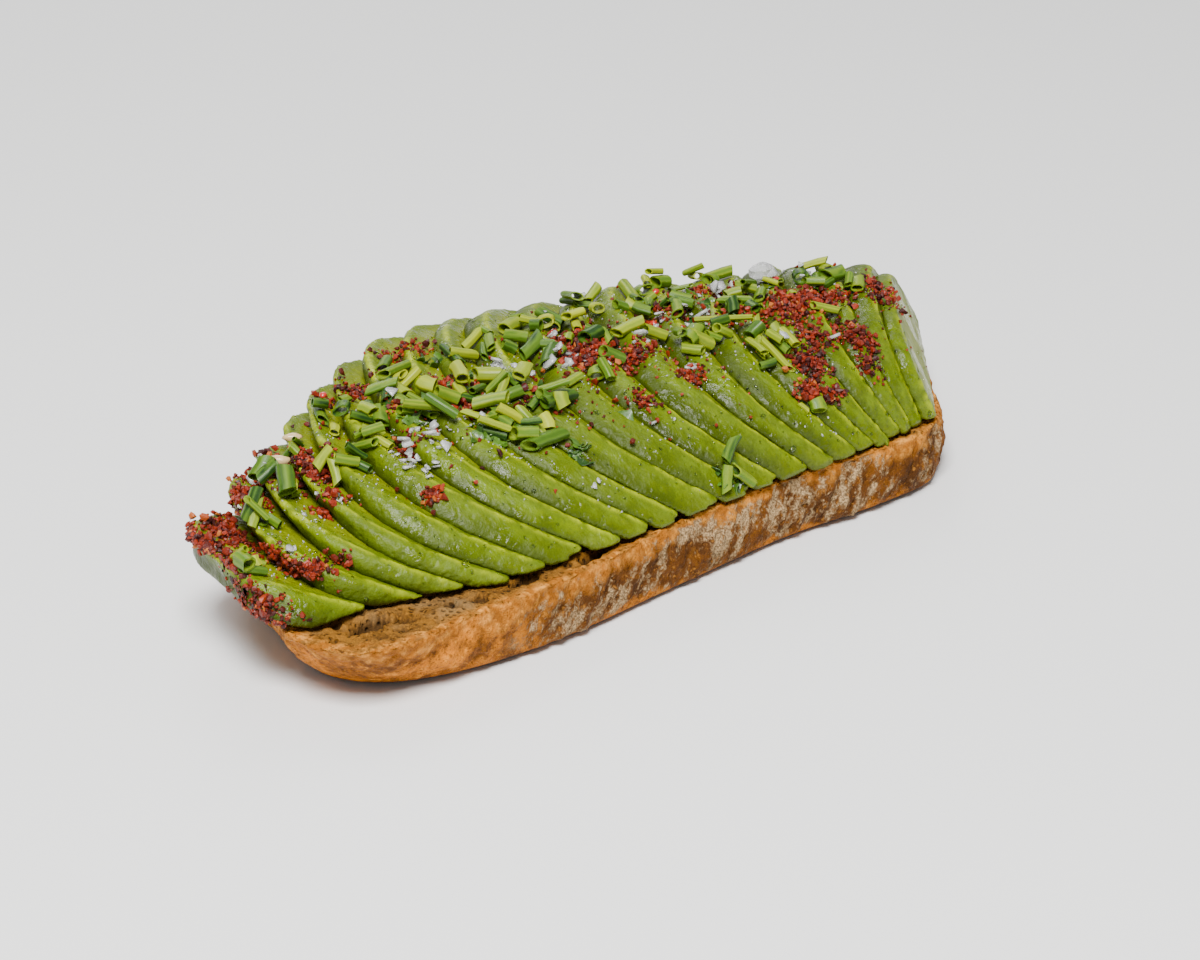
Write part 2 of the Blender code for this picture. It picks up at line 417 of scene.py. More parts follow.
class Ground:
    """The food's surface, as a tree for casting rays and as a height field on which toppings pile up."""

    CELL = 0.0006
    SKY = 0.1  # a height above everything
    START = 0.15  # how far before that spot a fall begins
    PILE_HEIGHT = 0.0042
    SPREAD = (-0.9, -0.45, 0.0, 0.45, 0.9)  # where along a stick's half length it is held up
    BEARING = 0.6  # how much of a stick's width bears on what is under it
    SETTLE = 0.75  # how far a stick is lifted clear of the highest spot under it

    def __init__(self):
        points, faces = [], []
        for made in FOOD:
            base = len(points)
            points.extend(tuple(point) for point in read_points(made.data))
            faces.extend(tuple(base + index for index in face.vertices) for face in made.data.polygons)
        self.tree = BVHTree.FromPolygons(points, faces)
        self.heights = {}

    def below(self, x, y):
        """The food under a place seen from above, without toppings."""
        return self.tree.ray_cast(Vector((x, y, self.SKY)), DOWN)[0]

    def height(self, x, y):
        """The height of what lies at a place, toppings and all."""
        cell = (round(x / self.CELL), round(y / self.CELL))
        if cell not in self.heights:
            spot = self.below(x, y)
            self.heights[cell] = spot.z if spot else None
        return self.heights[cell]

    def raise_line(self, start, end, half_width):
        """Lift the height field to the top of a stick that now lies there."""
        along = end - start
        steps = max(int(along.length / self.CELL), 1)
        side = Vector((-along.y, along.x)).normalized() * self.CELL
        reach = int(half_width / self.CELL)
        for step in range(steps + 1):
            share = step / steps
            for shift in range(-reach, reach + 1):
                spot = start.xy + along.xy * share + side * shift
                cell = (round(spot.x / self.CELL), round(spot.y / self.CELL))
                arch = math.sqrt(1.0 - (shift / (reach + 1)) ** 2)
                crown = start.z + along.z * share + half_width * arch
                if self.heights.get(cell) is not None:
                    self.heights[cell] = max(self.heights[cell], crown)

    def lay(self, x, y, turn, length, half_width, sink):
        """The two ends of a stick that lies on what is under it, or None where nothing is."""
        ahead = Vector((math.cos(turn), math.sin(turn))) * length / 2.0
        side = Vector((-ahead.y, ahead.x)).normalized() * half_width * self.BEARING
        spots = []
        for share in self.SPREAD:
            middle_x, middle_y = x + ahead.x * share, y + ahead.y * share
            rows = [self.height(middle_x + side.x * row, middle_y + side.y * row) for row in (-1, 0, 1)]
            if None in rows:
                return None
            spots.append(max(rows))
        rise, middle = np.polyfit(self.SPREAD, spots, 1)
        lift = max(spot - (rise * share + middle) for share, spot in zip(self.SPREAD, spots))
        level = middle + lift * self.SETTLE + half_width - sink
        start = Vector((x - ahead.x, y - ahead.y, level - rise))
        end = Vector((x + ahead.x, y + ahead.y, level + rise))
        over_box = max(start.z, end.z) + half_width > CAD_BOX[1][2]
        if over_box or level - self.below(x, y).z > self.PILE_HEIGHT:
            return None
        self.raise_line(start, end, half_width)
        return start, end

    def cast(self, spot, direction):
        """Where what falls along a direction through a spot lands, and the surface's normal there."""
        direction = Vector(direction).normalized()
        landed, normal, _, _ = self.tree.ray_cast(Vector(spot) - direction * self.START, direction)
        return landed, normal


@cache
def ground():
    """The surface made from the finished bread and slices, once they are all there."""
    return Ground()


def in_patch(chance, patch):
    """A chance place in a patch given as its middle and its two half sizes in millimetres."""
    x, y, across, deep = patch[:4]
    while True:
        u, v = chance.gauss(0.0, 0.5), chance.gauss(0.0, 0.5)
        if u * u + v * v < 1.6:
            return (x + u * across) * MM, (y + v * deep) * MM


def places(chance, patches):
    """Chance places in patches, as many in each as its last number says."""
    for patch in patches:
        for _ in range(patch[4]):
            yield in_patch(chance, patch)


def aligned(normal, spin):
    """A turn that stands +Z on a surface and spins about it."""
    return normal.to_track_quat("Z", "Y").to_matrix().to_4x4() @ Matrix.Rotation(spin, 4, "Z")


def scaled(size):
    return Matrix.Diagonal((*size, 1.0))


def turned(*turns):
    """A turn about the three axes."""
    return Euler(turns).to_matrix().to_4x4()


def tumbled(chance):
    """A chance turn about all three axes."""
    return turned(*[chance.uniform(0.0, math.tau) for _ in range(3)])


# Bread


# Larger open pores: middle, half sizes and depth in millimetres, and their turn in degrees
LARGE_PORES = (
    (-87.0, -34.8, 5.2, 2.8, 4.6, 12.0),
    (-79.5, -37.6, 2.8, 1.8, 2.4, -20.0),
    (-91.5, -30.5, 2.0, 1.4, 2.0, 30.0),
    (-52.0, -38.6, 4.4, 1.7, 3.2, 10.0),
    (-63.5, -39.6, 2.2, 1.3, 2.0, 0.0),
    (-70.0, -37.4, 1.8, 1.2, 1.8, 25.0),
    (-34.0, -38.4, 4.8, 1.6, 3.4, 14.0),
    (-24.0, -37.2, 1.8, 1.0, 1.6, 0.0),
    (-8.0, -36.0, 3.0, 1.3, 2.2, 10.0),
    (-78.0, 12.0, 2.4, 1.6, 1.8, 40.0),
    (-62.0, 31.0, 3.0, 1.8, 2.2, 20.0),
    (-20.0, 40.0, 3.4, 1.6, 2.0, 0.0),
    (24.0, 38.0, 2.8, 1.6, 1.8, -10.0),
    (66.0, 30.0, 3.2, 2.0, 2.0, -30.0),
    (80.0, -4.0, 2.8, 2.2, 2.2, 50.0),
)
# Least and most half sizes, depth and turn of the small pores, in the same units
SMALL_PORES = ((0.7, 1.9), (0.6, 1.2), (0.5, 1.5), (-40.0, 60.0))


def pore_depth(points, pores):
    """How deep each point lies under the crumb because of the pores over it, in metres."""
    depth = np.zeros(len(points))
    for x, y, across, deep, down, turn in pores:
        cosine, sine = math.cos(math.radians(turn)), math.sin(math.radians(turn))
        u = (points[:, 0] / MM - x) * cosine + (points[:, 1] / MM - y) * sine
        v = (points[:, 1] / MM - y) * cosine - (points[:, 0] / MM - x) * sine
        inside = 1.0 - (u / across) ** 2 - (v / deep) ** 2
        depth = np.maximum(depth, down * MM * np.sqrt(np.clip(inside, 0.0, 1.0)))
    return depth


def bread_material(look):
    made = Material("toasted_bread")
    side, depth, rim, dust = made.attributes("crust", "pore", "rim", "dust")
    ridges = made.noise(300.0, 4.0, 0.6, made.drawn_out((0.0, -1.0, 0.0), (3.2, 1.0, 1.0)))
    patches = made.noise(60.0, 4.0, 0.6)
    specks = made.noise(900.0, 3.0, 0.6)
    grains = made.noise(2300.0, 2.0, 0.6)
    blisters = made.noise(420.0, 4.0, 0.62)
    small = made.cells(760.0).step(0.0, 0.45)
    baked = made.paint(
        tint(look.crust, 0.26),
        (made.noise(150.0, 5.0, 0.6).step(0.36, 0.64), look.crust),
        (blisters.step(0.54, 0.70) * 0.75, (0.80, 0.30, 0.026)),
        ((0.47 - blisters).step(0.0, 0.12) * 0.7, tint(look.crust, 0.16)),
        (dust * 0.85, tint(look.crust, 0.07)),
        ((specks * 0.6 + grains * 0.4).step(0.50, 0.62) * 0.6, tint(look.crust, 0.13)),
        ((0.42 - specks).step(0.0, 0.12) * 0.25, GOLDEN_CRUST),
    )
    chalk = made.mix(grains.step(0.35, 0.65), tint(look.flour, 0.38), tint(look.flour, 1.25))
    dusty = (ridges * 0.9 + patches * 0.65 + specks * 0.45).step(0.96, 1.13) * dust.step(0.1, 0.5)
    golden = made.mix(blisters.step(0.4, 0.7), tint(look.crust, 0.5), GOLDEN_CRUST)
    baked = made.paint(
        baked,
        (dusty * 0.92, chalk),
        # painted shade: the crust is darkened towards its base, where the bread meets the floor
        ((1.0 - (made.height() / BREAD_TOP).step(0.02, 0.2)) * 0.65, tint(look.crust, 0.11)),
        (rim * (1.0 - dusty) * 0.7, golden),
    )
    inner = made.paint(
        tint(look.crumb, 0.42),
        (made.noise(120.0, 5.0, 0.6).step(0.35, 0.65), look.crumb),
        (grains.step(0.45, 0.7) * 0.6, tint(look.crumb, 1.7)),
        (made.noise(62.0, 4.0, 0.55).step(0.45, 0.7) * 0.5, (0.26, 0.185, 0.09)),
        # painted shade: dark dots stand for the shade inside small pores in the crumb
        ((1.0 - small) * 0.55 * (1.0 - rim), tint(look.crumb, 0.16)),
        # painted shade: the crumb is darkened by pore depth, as shade inside the modelled pores
        (depth.step(0.0, 0.9) * 0.85, tint(look.crumb, 0.14)),
        (rim * made.noise(260.0, 4.0, 0.55).step(0.25, 0.55), golden),
    )
    relief = specks * 0.5 + grains * 0.35 + blisters * 0.5 + ridges * 0.3 * side
    pitted = small * 0.8 + specks * 0.6
    return made.finish(
        Base_Color=made.mix(side, inner, baked),
        Roughness=0.82 - side * 0.12 + dusty * 0.15,
        Normal=made.bump(relief * side + pitted * (1.0 - side), 0.0012, 0.9),
        Specular_IOR_Level=0.15,
        Subsurface_Weight=0.04,
        Subsurface_Radius=(0.002, 0.001, 0.0005),
    )


class TOAST_OT_bread(bpy.types.Operator):
    """Make the bread with its rough crust, ragged rim and open pores"""

    bl_idname = "toast.bread"
    bl_label = "Bread"

    def execute(self, context):
        look = context.scene.toast_bread
        made = fine_copy("bread", "toasted_bread", look.voxel, 2)
        mesh = made.data
        points, normals = read_points(mesh), read_points(mesh, "normal")
        chance = random.Random(SEED)
        top = smooth_step(normals[:, 2], 0.35, 0.8) * (points[:, 2] > BREAD_TOP * 0.6)
        under = smooth_step(-normals[:, 2], 0.5, 0.9)
        side = (1.0 - top) * (1.0 - under)
        near_rim = distance_to_crust(points, side)
        coarse = noise_at(points, 110.0, 2.0, 4)
        fine = noise_at(points, 420.0, 9.0, 3)
        lean = np.array([[0.18, 0.0, -0.84], [0.0, 1.0, 0.0], [0.28, 0.0, 0.54]])
        slanted = noise_at(points @ lean, 260.0, 5.0, 3)
        along = points[:, 0]
        middle = smooth_step(along, -0.070, -0.040) * (1.0 - 0.6 * smooth_step(along, 0.06, 0.09))
        level = points[:, 2] / BREAD_TOP + 0.15 * coarse
        dust = middle * (1.0 - smooth_step(level, 0.75, 1.0)) * smooth_step(level, 0.05, 0.2)
        seams = 1.0 - smooth_step(np.abs(slanted), 0.0, 0.10)
        grounded = smooth_step(points[:, 2], 0.0006, 0.0022)
        bulge = coarse * 0.6 + fine * 0.5 + slanted * (0.4 + 0.6 * dust) - 0.5 * seams * dust - 0.2
        bulge *= look.relief * side * grounded
        low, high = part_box("bread")
        ranges = ((low.x / MM, high.x / MM), (low.y / MM, high.y / MM), *SMALL_PORES)
        small = [tuple(chance.uniform(*each) for each in ranges) for _ in range(look.pores)]
        warped = points + np.stack([fine, coarse, fine * 0.0], axis=1) * 0.0011
        depth = pore_depth(warped, (*LARGE_PORES, *small)) * smooth_step(near_rim, 0.0008, 0.003)
        ragged = 0.0006 * (coarse + fine * 0.6) * top
        lowered = -0.0005 * (1.0 - smooth_step(near_rim, 0.0, 0.0015)) * top * (fine > 0.1)
        points = points + normals * bulge[:, None]
        points[:, 2] += top * (ragged + lowered - depth - 0.0002)
        points[:, 2] = np.minimum(points[:, 2], BREAD_TOP)
        write_points(mesh, keep_in_box(points))
        write_attributes(
            mesh,
            crust=np.clip(side + under, 0.0, 1.0),
            # pore depth, kept only for the material's painted shade in the pores
            pore=np.clip(depth / 0.0016, 0.0, 1.0),
            rim=(1.0 - smooth_step(near_rim, 0.0010, 0.0042)) * smooth_step(level, 0.66, 0.88),
            dust=dust * side,
        )
        mesh.materials.append(bread_material(look))
        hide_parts("bread")
        ride(made)
        FOOD.append(made)
        return {"FINISHED"}


def distance_to_crust(points, side):
    """How far each point lies from the crust at the bread's rim, seen from above."""
    crust = points[(side > 0.5) & (points[:, 2] > BREAD_TOP * 0.8)]
    nearest = KDTree(len(crust))
    for index, (x, y, _) in enumerate(crust):
        nearest.insert((x, y, 0.0), index)
    nearest.balance()
    return np.array([nearest.find((x, y, 0.0))[2] for x, y, _ in points])


# Avocado


SWELL = 0.00038  # how far each face grows on average, so that the slices nearly touch


def avocado_material(look):
    made = Material("avocado_flesh")
    edge, peel, tone, foot, low, crest = made.attributes("edge", "peel", "tone", "foot", "low", "crest")
    cloud = made.noise(70.0, 4.0, 0.6)
    fibres = made.noise(520.0, 3.0, 0.6)
    grain = made.noise(1500.0, 3.0, 0.6)
    streaks = made.noise(330.0, 4.0, 0.6, made.drawn_out((0.0, 0.0, -1.1), (4.0, 1.0, 1.0)))
    inside = made.mix(cloud.step(0.3, 0.7) * 0.6 + fibres * 0.3, look.flesh, tint(look.flesh, 0.72))
    margin = (edge / look.margin + (cloud - 0.5) * 0.9).step(0.15, 1.0)
    skin = made.paint(
        tint(look.outer, 0.72),
        (streaks.step(0.35, 0.68), tint(look.outer, 1.25)),
        (fibres.step(0.45, 0.75) * 0.3, tint(look.flesh, 0.8)),
        # painted shade: the skin side of each slice is darkened further below its cut face, where the next
        # slice meets it
        (low * 0.85, tint(look.outer, 0.24)),
        (foot * 0.35, tint(look.flesh, 0.6)),
    )
    colour = made.paint(
        look.outer,
        (margin, inside),
        (peel, skin),
        # painted highlight: a bright line along each slice's upper edge, where the rounded edge catches light
        (crest * (0.45 + fibres * 0.7), tint(look.flesh, 1.9)),
        (tone * 0.3, tint(look.outer, 0.75)),
    )
    wet = made.noise(130.0, 3.0, 0.55)
    ripples = fibres * 0.7 + grain * 0.3 + wet * 0.8 + made.cells(430.0).step(0.0, 0.35) * 0.35
    return made.finish(
        Base_Color=colour,
        Roughness=0.5 - wet.step(0.42, 0.62) * 0.3,
        Normal=made.bump(ripples, 0.0010, 0.6),
        IOR=1.36,
        Specular_IOR_Level=0.45,
        Subsurface_Weight=0.15,
        Subsurface_Radius=(0.0022, 0.0026, 0.0003),
    )


class CutFace:
    """The upper cut face of a packed slice: its plane, and the outline of that face alone."""

    def __init__(self, node):
        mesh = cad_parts[node].data
        points = read_points(mesh)
        faces = [face for face in mesh.polygons if face.normal.z > 0.0]
        tilt = {}
        for face in faces:
            key = tuple(round(part, 2) for part in face.normal)
            tilt[key] = tilt.get(key, 0.0) + face.area
        self.facing = Vector(max(tilt, key=tilt.get)).normalized()
        flat = [face for face in faces if face.normal.dot(self.facing) > 0.995]
        corners = np.array([points[index] for face in flat for index in face.vertices])
        self.facing = np.array(self.facing)
        self.middle = corners.mean(0)
        self.up = np.array([0.0, 0.0, 1.0]) - self.facing * self.facing[2]
        self.up /= np.linalg.norm(self.up)
        self.across = np.cross(self.up, self.facing)
        spread = self.flatten(corners)
        self.foot = spread[:, 1].min()
        self.depth = spread[:, 1].max() - self.foot
        self.half_width = (spread[:, 0].max() - spread[:, 0].min()) / 2.0
        self.centre = (spread[:, 0].max() + spread[:, 0].min()) / 2.0

    def flatten(self, points):
        away = points - self.middle
        return np.stack([away @ self.across, away @ self.up, away @ self.facing], axis=1)

    def inside(self, flat):
        """How far points in the plane lie inside the arched outline, and negative outside it."""
        u = np.abs((flat[:, 0] - self.centre) / self.half_width)
        v = np.clip((flat[:, 1] - self.foot) / self.depth, 0.0, None)
        reach = (u**ARCH + v**ARCH) ** (1.0 / ARCH)
        return (1.0 - reach) * min(self.half_width, self.depth)


class TOAST_OT_avocado(bpy.types.Operator):
    """Make the avocado slices with soft edges and moist cut faces"""

    bl_idname = "toast.avocado"
    bl_label = "Avocado slices"

    def execute(self, context):
        look = context.scene.toast_avocado
        material = avocado_material(look)
        chance = random.Random(SEED)
        for number, node in enumerate(SLICES, 1):
            made = fine_copy(node, f"slice_{number:02d}", look.voxel, 1)
            mesh = made.data
            plane = CutFace(node)
            points, normals = read_points(mesh), read_points(mesh, "normal")
            flat = plane.flatten(points)
            peel = 1.0 - smooth_step(normals @ plane.facing, 0.80, 0.95)
            edge = plane.inside(flat)
            height = (flat[:, 1] - plane.foot) / plane.depth
            below = -flat[:, 2]
            wave = noise_at(points, 60.0, number * 3.1, 2)
            lumps = noise_at(points, 240.0, number * 1.7, 3)
            nicks = noise_at(points, 420.0, number * 2.3, 2)
            # mask along the upper outline of each slice, for the painted highlight on its edge and a small
            # swell there
            crest = np.exp(-((edge / 0.0006) ** 2)) * (1.0 - smooth_step(below, 0.0001, 0.0010))
            swell = SWELL + 0.00036 * wave * (0.4 + peel) + 0.00013 * lumps
            swell += 0.0002 * crest * (nicks + 0.6)
            write_points(mesh, keep_in_box(points + normals * swell[:, None]))
            write_attributes(
                mesh,
                edge=np.clip(edge, 0.0, 0.02),
                peel=peel,
                # mask for the painted highlight along the slice's upper edge
                crest=crest * smooth_step(height, 0.0, 0.12) * smooth_step(nicks, -0.7, 0.3),
                # mask for the painted shade on the lower skin side of each slice
                low=smooth_step(below, 0.0005, 0.0036) * peel,
                foot=(1.0 - smooth_step(height, 0.02, 0.3)) * peel,
                tone=np.full(len(points), chance.uniform(0.0, 1.0)),
            )
            mesh.materials.append(material)
            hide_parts(node)
            ride(made)
            FOOD.append(made)
        return {"FINISHED"}


# Toppings. A patch is its middle, its two half sizes in millimetres, and how many pieces fall in it.


SUMAC_PATCHES = (
    (-104, -5, 3, 5, 150), (-103, -14, 4, 6, 160), (-96, 0, 5, 6, 260), (-88, 6, 7, 6, 220),
    (-79, 16, 6, 6, 200), (-76, 11, 5, 5, 260), (-74, 5, 5, 5, 260), (-74, -1, 4, 4, 170),
    (-79, -10, 4, 3, 80), (-50, 23, 7, 6, 110), (-50, 7, 5, 4, 80), (-56, -6, 4, 3, 60),
    (-61, -21, 2.5, 2, 80), (-34, 9, 5, 5, 180), (-35, 0, 4, 4, 130), (-30, 29, 8, 6, 90),
    (-24, -7, 8, 6, 50), (1, 6, 7, 7, 560), (6, -2, 6, 4, 260), (4, 14, 8, 5, 150), (-2, -16, 3, 3, 50),
    (14, -13, 4, 2.5, 120), (27, 12, 7, 5, 110), (42, 2, 7, 6, 110), (50, -3, 7, 8, 330),
    (57, 0, 6, 6, 300), (64, -2, 6, 6, 230), (78, -3, 5, 5, 160), (76, -8, 4, 4, 80), (58, -18, 4, 6, 220),
    (48, -14, 4, 6, 190), (41, -21, 5, 5, 260), (36, -27, 4, 3, 130), (40, -29, 4, 2, 90),
    (55, -25, 3, 4, 80), (44, 17, 8, 6, 120), (0, 0, 85, 26, 420),
)
RIM_SUMAC = ((-100, -22, 4, 10, 260),)
EDGE_SUMAC = ((-101, -18, 8, 8, 300), (-104, 0, 4, 12, 260), (-96, -26, 6, 4, 160))
CHIVE_PATCHES = (
    (-94, -7, 5, 4, 7), (-86, -3, 5, 4, 6), (-103, -18, 4, 3, 6), (-81, 7, 5, 5, 5), (-73, 7, 4, 4, 3),
    (-71, -5, 4, 4, 4), (-65, -6, 4, 4, 5), (-60, 8, 6, 5, 9), (-63, -3, 4, 4, 4), (-60, 14, 5, 4, 3),
    (-49, 3, 6, 5, 11), (-42, 5, 6, 6, 14), (-41, 16, 6, 4, 5), (-46, -1, 5, 4, 8), (-33, 1, 6, 5, 12),
    (-28, -4, 6, 5, 12), (-38, -12, 5, 4, 12), (-34, -18, 5, 3, 7), (-25, -13, 5, 4, 8), (-19, 17, 7, 5, 8),
    (-10, 6, 6, 5, 8), (-3, 19, 7, 5, 8), (3, 8, 6, 5, 6), (-6, -7, 4, 4, 4), (13, 26, 7, 4, 6),
    (18, 14, 6, 5, 8), (27, 12, 7, 5, 12), (13, 2, 5, 4, 6), (34, 23, 7, 5, 8), (21, -8, 5, 4, 6),
    (28, -5, 6, 5, 9), (42, 0, 6, 5, 9), (45, 7, 6, 5, 6), (47, 20, 6, 5, 6), (36, -13, 5, 4, 8),
    (34, -20, 4, 3, 3), (53, 4, 5, 5, 5), (63, 2, 5, 5, 4), (72, -1, 4, 4, 5), (72, 8, 4, 4, 3),
    (33, -31, 3, 2, 3), (5, -36, 5, 3, 7), (0, 6, 75, 18, 14),
)
HERB_PATCHES = (
    (-76, 17, 4, 3, 14), (-51, 9, 5, 4, 10), (-55, -3, 5, 4, 12), (-39, -13, 6, 4, 46), (-34, -15, 5, 4, 30),
    (-26, -24, 2, 2, 16), (-24, -10, 5, 4, 16), (-38, 1, 6, 5, 24), (-31, 19, 5, 4, 8), (5, -36, 5, 2.5, 26),
    (-45, 3, 7, 5, 20), (-10, 8, 7, 5, 10), (32, 4, 12, 7, 16), (47, -2, 10, 7, 12), (0, 2, 80, 18, 30),
)
SALT_PATCHES = (
    (-94, -19, 3, 3, 3), (-86, -14, 4, 3, 3), (-79, -10, 4, 3, 5), (-80, 14, 5, 4, 5), (-84, 6, 5, 4, 5),
    (-60, -14, 5, 5, 20), (-55, -10, 6, 5, 18), (-48, -6, 6, 5, 14), (-24, 4, 3, 3, 6), (-12, 0, 6, 5, 8),
    (-3, 8, 7, 6, 8), (-3, -23, 4, 3, 3), (14, -13, 3, 3, 4), (24, 8, 6, 5, 9), (30, 5, 5, 5, 7),
    (47, 8, 8, 7, 12), (58, 7, 6, 5, 7), (66, 8, 5, 5, 5), (-26, -31, 3, 2, 2), (41, -16, 5, 4, 4),
    (10, 20, 9, 5, 5), (0, 2, 80, 20, 36),
)
RED_BITS = ((-79, 6), (1, 17), (33, 20), (71, 5), (39, -28), (-75, 4), (47, -6), (22, 8), (-62, 14), (58, 8))
SEEDS = ((-77, 9), (39, -12), (-70, 14))
# How the sumac of each set of patches falls: its direction, and the heights at which it passes its place
SUMAC_FALLS = (
    (SUMAC_PATCHES, (0.18, 0.25, -1.0), 0.025, 0.025),
    (EDGE_SUMAC, (0.9, 0.45, -0.35), 0.025, 0.025),
    (RIM_SUMAC, (0.92, 0.38, 0.1), 0.0165, 0.0235),
)
SUMAC_SIZE = 0.00035
SUMAC_LOWEST = 0.012
CHIVE_LENGTH, CHIVE_SHORTEST, CHIVE_LONGEST = 0.0050, 0.0022, 0.0130
CHIVE_HALF_WIDTH = 0.00130
CHIVE_SIDES, CHIVE_STEPS = 12, 3
CHIVE_SINK = 0.0003
SALT_FLAKE_SIZE = 0.00085
FINE_SALT, FINE_SALT_SIZES = 1100, (0.00012, 0.00032)
HERB_SIZES = (0.0006, 0.0019)
DROPS, DROP_SIZE = 950, 0.00024


def chive_shape(chance):
    """A hollow piece of chive one unit long and two across, with cut ends."""
    bpy.ops.mesh.primitive_circle_add(vertices=CHIVE_SIDES, radius=1.0, location=(0.0, 0.0, -0.5))
    made = bpy.context.object
    bpy.ops.object.transform_apply(location=True, rotation=False, scale=False)
    bpy.ops.object.mode_set(mode="EDIT")
    bpy.ops.mesh.select_all(action="SELECT")
    for _ in range(CHIVE_STEPS):
        bpy.ops.mesh.extrude_region_move(TRANSFORM_OT_translate={"value": (0.0, 0.0, 1.0 / CHIVE_STEPS)})
    bpy.ops.mesh.select_all(action="SELECT")
    bpy.ops.mesh.normals_make_consistent(inside=False)
    bpy.ops.object.mode_set(mode="OBJECT")
    apply_modifier(made, "SOLIDIFY", thickness=0.22, offset=-1.0)
    points = read_points(made.data)
    slants = (chance.uniform(-0.16, 0.16), chance.uniform(-0.16, 0.16))
    flat, bend = chance.uniform(0.62, 1.0), chance.uniform(-0.35, 0.35)
    dent = chance.uniform(0.0, 0.25)
    slant = np.where(points[:, 2] > 0.0, *slants)
    points[:, 2] += slant * points[:, 0] * np.abs(points[:, 2]) * 2.0
    points[:, 0] *= 1.0 + 0.06 * np.sin(points[:, 2] * 9.0)
    points[:, 1] *= flat
    points[:, 1] -= dent * np.exp(-((points[:, 0] / 0.5) ** 2)) * np.sign(points[:, 1]) * flat
    points[:, 0] += bend * (points[:, 2] ** 2) * 2.0
    write_points(made.data, points)
    return made


def chive_attributes(points):
    """Ribs along the stem and a mark on its hollow inside."""
    turns = np.arctan2(points[:, 1], points[:, 0]) / math.tau * CHIVE_SIDES
    reach = np.hypot(points[:, 0], points[:, 1])
    return {"rib": np.round(turns) % 2, "inner": (reach < 0.8).astype(float)}


def chive_material(look):
    made = Material("chopped_chives")
    tone, rib, inner = made.attributes("tone", "rib", "inner")
    blotch = made.noise(420.0, 3.0, 0.6)
    streak = made.mix(tone.step(0.2, 0.9), (0.09, 0.19, 0.008), (0.40, 0.43, 0.008))
    colour = made.paint(
        look.chive_dark,
        (tone.step(0.0, 0.5), (0.070, 0.150, 0.003)),
        (tone.step(0.5, 1.0), look.chive_light),
        ((rib * 0.5 + blotch * 0.5).step(0.35, 0.8) * 0.5, streak),
        (inner * 0.6, made.mix(tone, (0.09, 0.18, 0.005), (0.33, 0.38, 0.012))),
    )
    return made.finish(
        Base_Color=colour,
        Roughness=0.42 + blotch * 0.2,
        Normal=made.bump(rib * 0.6 + blotch * 0.4, 0.0003, 0.6),
        Specular_IOR_Level=0.3,
        Coat_Weight=0.12,
        Coat_Roughness=0.2,
        Subsurface_Weight=0.1,
        Subsurface_Radius=(0.0008, 0.0012, 0.0002),
    )


class Topping:
    """What the operators that scatter toppings share. Each has its own run of chance numbers."""

    def execute(self, context):
        self.scatter(context.scene.toast_topping, random.Random(SEED + self.run))
        return {"FINISHED"}


class TOAST_OT_chives(Topping, bpy.types.Operator):
    """Scatter hollow pieces of chopped chive along the toast and let them pile up"""

    bl_idname = "toast.chives"
    bl_label = "Chives"
    run = 0

    def scatter(self, look, chance):
        shapes = [Shape(chive_shape(chance), chive_attributes) for _ in range(9)]
        copies = []
        for x, y in places(chance, CHIVE_PATCHES):
            length = CHIVE_LENGTH * math.exp(chance.gauss(0.0, 0.42))
            length = min(max(length, CHIVE_SHORTEST), CHIVE_LONGEST)
            half_width = CHIVE_HALF_WIDTH * math.exp(min(chance.gauss(0.0, 0.27), 0.36))
            laid = ground().lay(x, y, chance.uniform(0.0, math.tau), length, half_width, CHIVE_SINK)
            if laid is None:
                continue
            start, end = laid
            turn = aligned((end - start).normalized(), chance.uniform(-0.5, 0.5))
            place = Matrix.Translation((start + end) / 2.0) @ turn
            size = scaled((half_width, half_width, length))
            tone = {"tone": min(max(chance.gauss(0.42, 0.34), 0.0), 1.0)}
            copies.append((chance.randrange(len(shapes)), place @ size, tone))
        ride(gather("chopped_chives", shapes, copies, chive_material(look), 40.0))


def sumac_material(look):
    made = Material("sumac_grains")
    (tone,) = made.attributes("tone")
    speckle = made.noise(1700.0, 3.0, 0.6)
    colour = made.paint(
        look.sumac_dark,
        ((tone * 0.9 + speckle * 0.4).step(0.2, 1.05), look.sumac_light),
        (tone.step(0.90, 1.0) * 0.85, (0.42, 0.12, 0.018)),
    )
    return made.finish(
        Base_Color=colour,
        Roughness=0.6 - speckle * 0.25,
        Normal=made.bump(speckle, 0.0003, 0.8),
        Specular_IOR_Level=0.25,
        Coat_Weight=0.1,
        Coat_Roughness=0.25,
    )


class TOAST_OT_sumac(Topping, bpy.types.Operator):
    """Scatter coarse sumac in clumps over the avocado and along its left edge"""

    bl_idname = "toast.sumac"
    bl_label = "Sumac"
    run = 1

    def scatter(self, look, chance):
        shapes = [Shape(pebble(chance, 1, 0.42)) for _ in range(14)]
        copies = []
        for patches, direction, low, high in SUMAC_FALLS:
            for patch in patches:
                base = chance.uniform(0.3, 0.6)
                for _ in range(round(patch[4] * 1.2)):
                    x, y = in_patch(chance, patch)
                    landed, normal = ground().cast((x, y, chance.uniform(low, high)), direction)
                    if landed is None or landed.z < SUMAC_LOWEST:
                        continue
                    size = SUMAC_SIZE * math.exp(min(chance.gauss(0.0, 0.40), 0.85))
                    landed = landed + normal * chance.choice((0.1, 0.4, 1.0, 1.7)) * size
                    place = Matrix.Translation(landed) @ tumbled(chance) @ scaled((size, size, size))
                    tone = min(max(chance.gauss(base, 0.28), 0.0), 1.0)
                    copies.append((chance.randrange(len(shapes)), place, {"tone": tone}))
        ride(gather("sumac_grains", shapes, copies, sumac_material(look), 12.0))


def salt_material(look):
    made = Material("flaked_salt")
    haze = made.noise(900.0, 3.0, 0.6)
    return made.finish(
        Base_Color=made.mix(haze, look.salt, tint(look.salt, 0.9)),
        Roughness=0.1 + haze * 0.25,
        Normal=made.bump(haze, 0.0004, 0.4),
        Transmission_Weight=0.65,
        IOR=1.5,
    )


